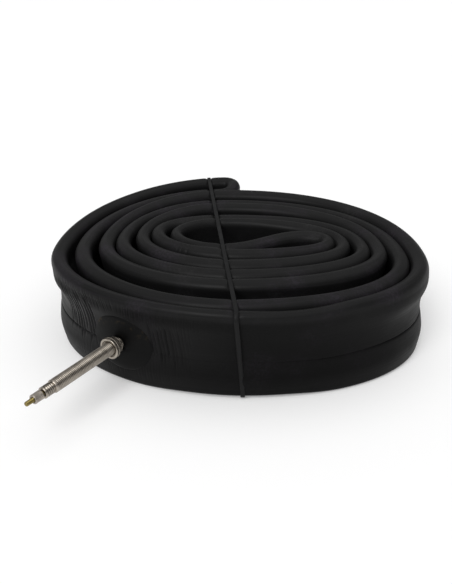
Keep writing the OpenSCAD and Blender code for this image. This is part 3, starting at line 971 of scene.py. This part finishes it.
def band_material():
    """Cut natural rubber, dark grey, with saw lines along its length."""
    material, tree, shader = new_material("band_rubber")
    here = place(tree)
    lines = noise_node(tree, stretched(tree, here, (2600, 60, 60)), 1.0, 4)
    cloud = noise_node(tree, here, 160, 4)
    tree.links.new(colour_mix(tree, combine(tree, "MULTIPLY", lines, cloud), (0.005, 0.005, 0.0053),
                              (0.014, 0.014, 0.0143)), shader.inputs["Base Color"])
    tree.links.new(between(tree, cloud, 0.3, 0.7, 0.50, 0.62), shader.inputs["Roughness"])
    shader.inputs["Specular IOR Level"].default_value = 0.14
    add_bump(tree, shader, lines, 0.00005, 0.6)
    return material


def metal_material(name, dark, light, rough):
    """Turned and plated metal: fine scratches, a little tarnish, and darker in its grooves."""
    material, tree, shader = new_material(name)
    here = place(tree)
    cloud = noise_node(tree, here, 260, 5)
    scratch = noise_node(tree, here, 1800, 4)
    plain = colour_mix(tree, between(tree, cloud, 0.35, 0.65, 0, 1), dark, light)
    # Darker in the grooves, by their depth.
    groove_dark = combine(tree, "MULTIPLY", layer(tree, "groove"), 0.75)
    tree.links.new(colour_mix(tree, groove_dark, plain, tuple(0.12 * c for c in dark)),
                   shader.inputs["Base Color"])
    shader.inputs["Metallic"].default_value = 1.0
    uneven = between(tree, cloud, 0.3, 0.7, rough - 0.04, rough + 0.06)
    fine = between(tree, scratch, 0.3, 0.7, -0.03, 0.03)
    tree.links.new(combine(tree, "ADD", uneven, fine), shader.inputs["Roughness"])
    add_bump(tree, shader, scratch, 0.00002, 0.35)
    return material


def seal_material():
    """The small moulded seals inside the valve."""
    material, tree, shader = new_material("seal_rubber")
    cloud = noise_node(tree, place(tree), 700, 4)
    tree.links.new(colour_mix(tree, cloud, (0.010, 0.010, 0.010), (0.022, 0.022, 0.022)),
                   shader.inputs["Base Color"])
    tree.links.new(between(tree, cloud, 0.3, 0.7, 0.55, 0.7), shader.inputs["Roughness"])
    add_bump(tree, shader, cloud, 0.00004, 0.5)
    return material


def dress(piece, material, body, replaced):
    """Gives a piece its material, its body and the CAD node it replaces."""
    piece.data.materials.append(material)
    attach(piece, body)
    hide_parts(replaced)


# ---------------------------------------------------------------- stage, light and camera

AIM = Vector((-5.0, 33.5, 0.0)) * MM
CAMERA_DISTANCE = 430 * MM
CAMERA_ELEVATION, CAMERA_ROLL = 28.0, -0.8
LENS, SENSOR = 47.6, 36.0
FLOOR_HALF = 4.0


def make_camera():
    """The camera of the photograph, looking at AIM from the front."""
    data = bpy.data.cameras.new("camera")
    data.lens, data.sensor_width = LENS, SENSOR
    data.clip_start, data.clip_end = 0.01, 20
    camera = bpy.data.objects.new("camera", data)
    bpy.context.scene.collection.objects.link(camera)
    tilt = math.radians(CAMERA_ELEVATION)
    back = Vector((0, -math.cos(tilt), math.sin(tilt)))
    camera.location = AIM + back * CAMERA_DISTANCE
    look = (-back).to_track_quat("-Z", "Y").to_matrix().to_4x4()
    camera.rotation_euler = (look @ Matrix.Rotation(math.radians(CAMERA_ROLL), 4, "Z")).to_euler()
    bpy.context.scene.camera = camera


def make_floor():
    """White paper under the roll, for its shadow."""
    half = FLOOR_HALF
    corners = [(-half, -half, 0), (half, -half, 0), (half, half, 0), (-half, half, 0)]
    mesh = bpy.data.meshes.new("floor")
    mesh.from_pydata(corners, [], [(0, 1, 2, 3)])
    floor = bpy.data.objects.new("floor", mesh)
    bpy.context.scene.collection.objects.link(floor)
    material, _, shader = new_material("floor_paper")
    shader.inputs["Base Color"].default_value = (0.80, 0.80, 0.80, 1)
    shader.inputs["Emission Color"].default_value = (1, 1, 1, 1)
    shader.inputs["Emission Strength"].default_value = 0.22
    shader.inputs["Roughness"].default_value = 0.9
    shader.inputs["Specular IOR Level"].default_value = 0.1
    mesh.materials.append(material)


def sun(name, azimuth, elevation, strength, spread):
    """A wide soft light. Azimuth 0 is on the camera's side and 90 on the right, in degrees."""
    data = bpy.data.lights.new(name, "SUN")
    data.energy = strength
    data.angle = math.radians(spread)
    light = bpy.data.objects.new(name, data)
    bpy.context.scene.collection.objects.link(light)
    a, e = math.radians(azimuth), math.radians(elevation)
    towards = Vector((math.sin(a) * math.cos(e), -math.cos(a) * math.cos(e), math.sin(e)))
    light.rotation_euler = towards.to_track_quat("Z", "Y").to_euler()


def make_studio():
    """A pale world and three soft lights."""
    world = bpy.data.worlds.new("studio")
    world.use_nodes = True
    background = world.node_tree.nodes["Background"]
    background.inputs["Color"].default_value = (1, 1, 1, 1)
    background.inputs["Strength"].default_value = 0.26
    bpy.context.scene.world = world
    sun("front_softbox", -26, 46, 1.7, 34)
    sun("back_softbox", -160, 52, 0.3, 90)
    sun("top_softbox", 100, 80, 0.9, 80)
    bpy.context.scene.view_settings.view_transform = "Standard"


# ---------------------------------------------------------------- the whole

def make_all():
    """Every visible piece, and the seals, which stay as their CAD nodes."""
    nickel = metal_material("nickel", (0.315, 0.282, 0.242), (0.41, 0.37, 0.32), 0.30)
    dull_nickel = metal_material("dull_nickel", (0.33, 0.295, 0.26), (0.42, 0.38, 0.335), 0.44)
    brass = metal_material("brass", (0.20, 0.155, 0.05), (0.28, 0.22, 0.08), 0.34)
    seals = seal_material()
    dress(make_tube(), butyl_material(), "roll", "tube")
    dress(make_pad(), pad_material(), "roll", "valve_pad")
    dress(make_band(), band_material(), "roll", "rubber_band")
    dress(make_stem(), nickel, "roll", "valve_stem")
    dress(make_core_body(), nickel, "roll", "core_body")
    dress(make_rim_nut(), nickel, "rim_nut", "rim_nut")
    dress(make_lock_nut(), dull_nickel, "lock_nut", "lock_nut")
    dress(make_pin(), brass, "core_pin", "core_pin")
    for node in ("core_gasket", "pin_seal"):
        kept = frame["nodes"][node]
        kept.data.materials.clear()
        kept.data.materials.append(seals)


make_camera()
make_floor()
make_studio()
make_all()
